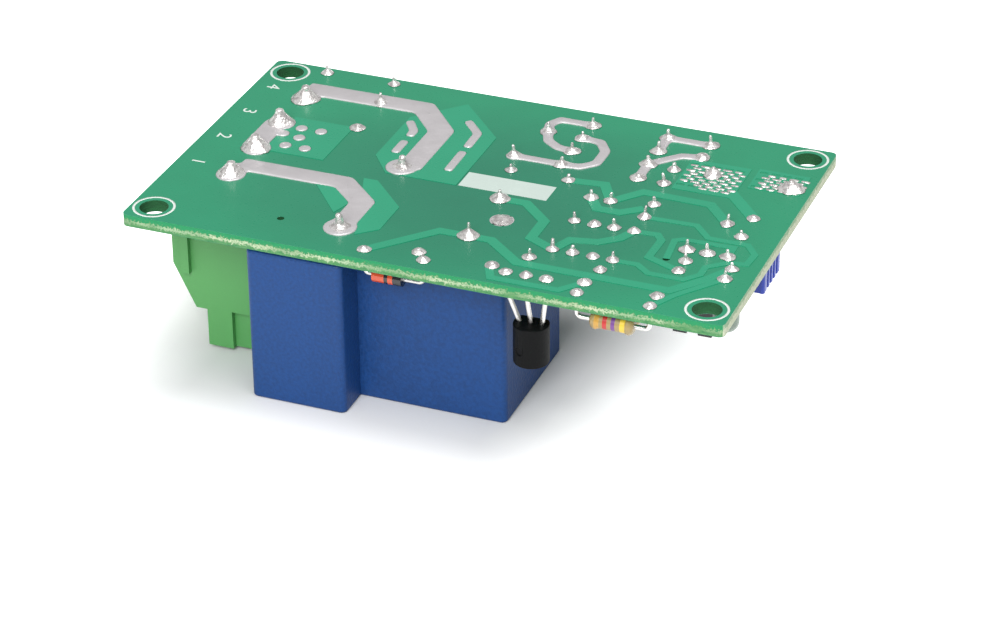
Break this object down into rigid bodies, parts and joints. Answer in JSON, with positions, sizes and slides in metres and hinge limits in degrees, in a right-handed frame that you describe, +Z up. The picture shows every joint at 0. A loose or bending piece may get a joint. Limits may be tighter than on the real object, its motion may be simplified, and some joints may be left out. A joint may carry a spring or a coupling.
{
  "type": "time delay relay",
  "caption": "Time delay relay module on a circuit board, with a power relay, screw terminals, a trimmer and a jumper, lying solder side up.",
  "frame": {"origin": "centre of the board's outline, on the plane of the relay's flat top that the module lies on", "axes": "+X along the board's long side away from the terminal block, +Z up out of the solder side"},
  "size_m": [0.077, 0.046, 0.0248],
  "materials": {
    "board_green": "solder lacquer on glass-fibre laminate",
    "track_green": "solder lacquer over copper",
    "tin": "tinned copper",
    "solder": "bright solder",
    "relay_blue": "moulded plastic",
    "ivory_plastic": "moulded plastic",
    "enamel_copper": "enamelled copper wire",
    "iron": "soft iron, zinc plated",
    "spring_bronze": "spring bronze",
    "silver": "silver alloy",
    "terminal_green": "moulded polyamide",
    "brass": "brass",
    "zinc": "zinc plated steel",
    "black_plastic": "black epoxy or plastic",
    "orange_glass": "orange-red glass, opaque here",
    "tan_enamel": "baked enamel with colour bands",
    "grey_enamel": "flameproof coating",
    "can_black": "shrink sleeve on an aluminium can",
    "ceramic_brown": "dipped ceramic",
    "film_yellow": "moulded box",
    "varistor_blue": "dipped epoxy",
    "gilt": "gold flash",
    "trimmer_blue": "moulded plastic",
    "white_plastic": "moulded plastic",
    "clear_lens": "diffuse epoxy lens"
  },
  "bodies": {
    "module": {"circuit_board": "board_green", "masked_tracks": "track_green", "tinned_tracks": "tin", "solder_joints": "solder", "relay_cover": "relay_blue", "relay_base": "relay_blue", "coil_bobbin": "ivory_plastic", "coil_winding": "enamel_copper", "coil_core": "iron", "coil_yoke": "iron", "coil_pins": "tin", "open_contact": "spring_bronze", "closed_contact": "spring_bronze", "terminal_housing": "terminal_green", "terminal_bodies": "brass", "transistor_body": "black_plastic", "transistor_leads": "tin", "glass_diode": "orange_glass", "flyback_diode": "black_plastic", "resistor_1": "tan_enamel", "resistor_2": "tan_enamel", "resistor_3": "tan_enamel", "resistor_4": "tan_enamel", "power_resistor": "grey_enamel", "snubber_resistor": "tan_enamel", "filter_capacitor": "can_black", "timing_capacitor": "can_black", "bypass_capacitor": "ceramic_brown", "ceramic_capacitor": "ceramic_brown", "snubber_capacitor": "film_yellow", "varistor": "varistor_blue", "component_leads": "tin", "timer_chip": "black_plastic", "chip_pins": "tin", "header_base": "black_plastic", "header_pins": "gilt", "trimmer_body": "trimmer_blue", "trimmer_pins": "tin", "led_lens_1": "clear_lens", "led_lens_2": "clear_lens", "rectifier_diode_1": "black_plastic", "rectifier_diode_2": "black_plastic", "rectifier_diode_3": "black_plastic", "rectifier_diode_4": "black_plastic"},
    "jumper": {"jumper_cap": "black_plastic", "jumper_clip": "gilt"},
    "trimmer_rotor_body": {"trimmer_rotor": "white_plastic"},
    "armature": {"relay_armature": "iron", "contact_blade": "spring_bronze", "moving_contact": "silver"},
    "clamp_1": {"clamp_plate_1": "zinc"},
    "screw_1": {"terminal_screw_1": "zinc"},
    "clamp_2": {"clamp_plate_2": "zinc"},
    "screw_2": {"terminal_screw_2": "zinc"},
    "clamp_3": {"clamp_plate_3": "zinc"},
    "screw_3": {"terminal_screw_3": "zinc"},
    "clamp_4": {"clamp_plate_4": "zinc"},
    "screw_4": {"terminal_screw_4": "zinc"}
  },
  "joints": [
    {"name": "clamp_slide_1", "type": "slide", "parent": "module", "child": "clamp_1", "axis": [0, 0, 1], "range_m": [0, 0.0021]},
    {"name": "screw_turn_1", "type": "hinge", "parent": "clamp_1", "child": "screw_1", "pos_m": [-0.0282, -0.00895, 0.0084], "axis": [0, 0, 1], "range_deg": [0, 1082]},
    {"name": "clamp_slide_2", "type": "slide", "parent": "module", "child": "clamp_2", "axis": [0, 0, 1], "range_m": [0, 0.0021]},
    {"name": "screw_turn_2", "type": "hinge", "parent": "clamp_2", "child": "screw_2", "pos_m": [-0.0282, -0.00145, 0.0084], "axis": [0, 0, 1], "range_deg": [0, 1082]},
    {"name": "clamp_slide_3", "type": "slide", "parent": "module", "child": "clamp_3", "axis": [0, 0, 1], "range_m": [0, 0.0021]},
    {"name": "screw_turn_3", "type": "hinge", "parent": "clamp_3", "child": "screw_3", "pos_m": [-0.0282, 0.00605, 0.0084], "axis": [0, 0, 1], "range_deg": [0, 1082]},
    {"name": "clamp_slide_4", "type": "slide", "parent": "module", "child": "clamp_4", "axis": [0, 0, 1], "range_m": [0, 0.0021]},
    {"name": "screw_turn_4", "type": "hinge", "parent": "clamp_4", "child": "screw_4", "pos_m": [-0.0282, 0.01355, 0.0084], "axis": [0, 0, 1], "range_deg": [0, 1082]},
    {"name": "armature_swing", "type": "hinge", "parent": "module", "child": "armature", "pos_m": [-0.0134, -0.00105, 0.0098], "axis": [0, 0, 1], "range_deg": [0, 4], "stiffness_Nm_per_rad": 0.01, "springref_deg": -5.73},
    {"name": "trimmer_turn", "type": "hinge", "parent": "module", "child": "trimmer_rotor_body", "pos_m": [0.0339, 0.00035, 0.016], "axis": [0, 0, 1], "range_deg": [-130, 130]},
    {"name": "jumper_pull", "type": "slide", "parent": "module", "child": "jumper", "axis": [0, 0, -1], "range_m": [0, 0.005]}
  ],
  "couplings": [
    {"joint": "screw_turn_1", "follows": "clamp_slide_1", "rad_per_m": 8976},
    {"joint": "screw_turn_2", "follows": "clamp_slide_2", "rad_per_m": 8976},
    {"joint": "screw_turn_3", "follows": "clamp_slide_3", "rad_per_m": 8976},
    {"joint": "screw_turn_4", "follows": "clamp_slide_4", "rad_per_m": 8976}
  ]
}
